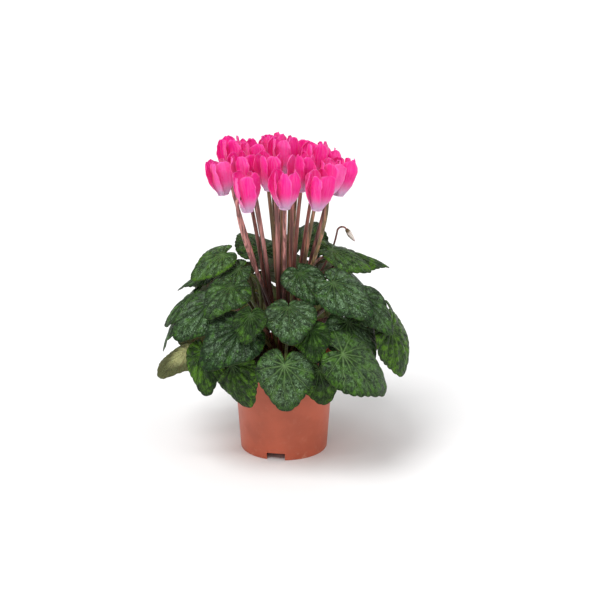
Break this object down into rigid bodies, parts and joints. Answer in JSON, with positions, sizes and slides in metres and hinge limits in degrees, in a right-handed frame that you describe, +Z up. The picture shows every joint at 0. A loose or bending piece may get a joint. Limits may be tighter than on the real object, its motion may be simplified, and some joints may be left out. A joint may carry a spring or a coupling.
{
  "type": "potted cyclamen",
  "caption": "Flowering cyclamen in a tapered plastic nursery pot: a dome of heart-shaped leaves on arching stalks under a head of swept-back flowers.",
  "frame": {"origin": "centre of the plant's outline in plan, which is within a few millimetres of the pot's axis, on the plane that the pot stands on", "axes": "+Z up the pot's axis; -Y towards the pictured front, +X to its right"},
  "size_m": [0.2539, 0.2615, 0.3271],
  "materials": {
    "pot": "terracotta-coloured moulded plastic, slightly glossy",
    "soil": "crumbly moist peat soil",
    "corm": "dull corky skin",
    "leaf_stalk": "smooth reddish brown stalk, green where it is in the light",
    "flower_stalk": "smooth fleshy stalk, dark red with pale pink lights",
    "leaf": "satin green blade with silver marbling and pale veins",
    "petal": "velvety hot pink, paler at the mouth",
    "bud": "smooth brown-green"
  },
  "bodies": {
    "root": {"pot": "pot", "soil": "soil", "corm": "corm", "leaf_stalks": "leaf_stalk", "flower_stalks": "flower_stalk", "leaf_01": "leaf", "leaf_02": "leaf", "leaf_03": "leaf", "leaf_04": "leaf", "leaf_05": "leaf", "leaf_06": "leaf", "leaf_07": "leaf", "leaf_08": "leaf", "leaf_09": "leaf", "leaf_10": "leaf", "leaf_11": "leaf", "leaf_12": "leaf", "leaf_13": "leaf", "leaf_14": "leaf", "leaf_15": "leaf", "leaf_16": "leaf", "leaf_17": "leaf", "leaf_18": "leaf", "leaf_19": "leaf", "leaf_20": "leaf", "leaf_21": "leaf", "leaf_22": "leaf", "leaf_23": "leaf", "leaf_24": "leaf", "leaf_25": "leaf", "leaf_26": "leaf", "leaf_27": "leaf", "leaf_28": "leaf", "leaf_29": "leaf", "leaf_30": "leaf", "leaf_31": "leaf", "leaf_32": "leaf", "leaf_33": "leaf", "leaf_34": "leaf", "leaf_35": "leaf", "flower_01": "petal", "flower_02": "petal", "flower_03": "petal", "flower_04": "petal", "flower_05": "petal", "flower_06": "petal", "flower_07": "petal", "flower_08": "petal", "flower_09": "petal", "flower_10": "petal", "flower_11": "petal", "flower_12": "petal", "flower_13": "petal", "flower_14": "petal", "flower_15": "petal", "flower_16": "petal", "flower_17": "petal", "flower_18": "petal", "flower_19": "petal", "bud": "bud"}
  },
  "joints": []
}
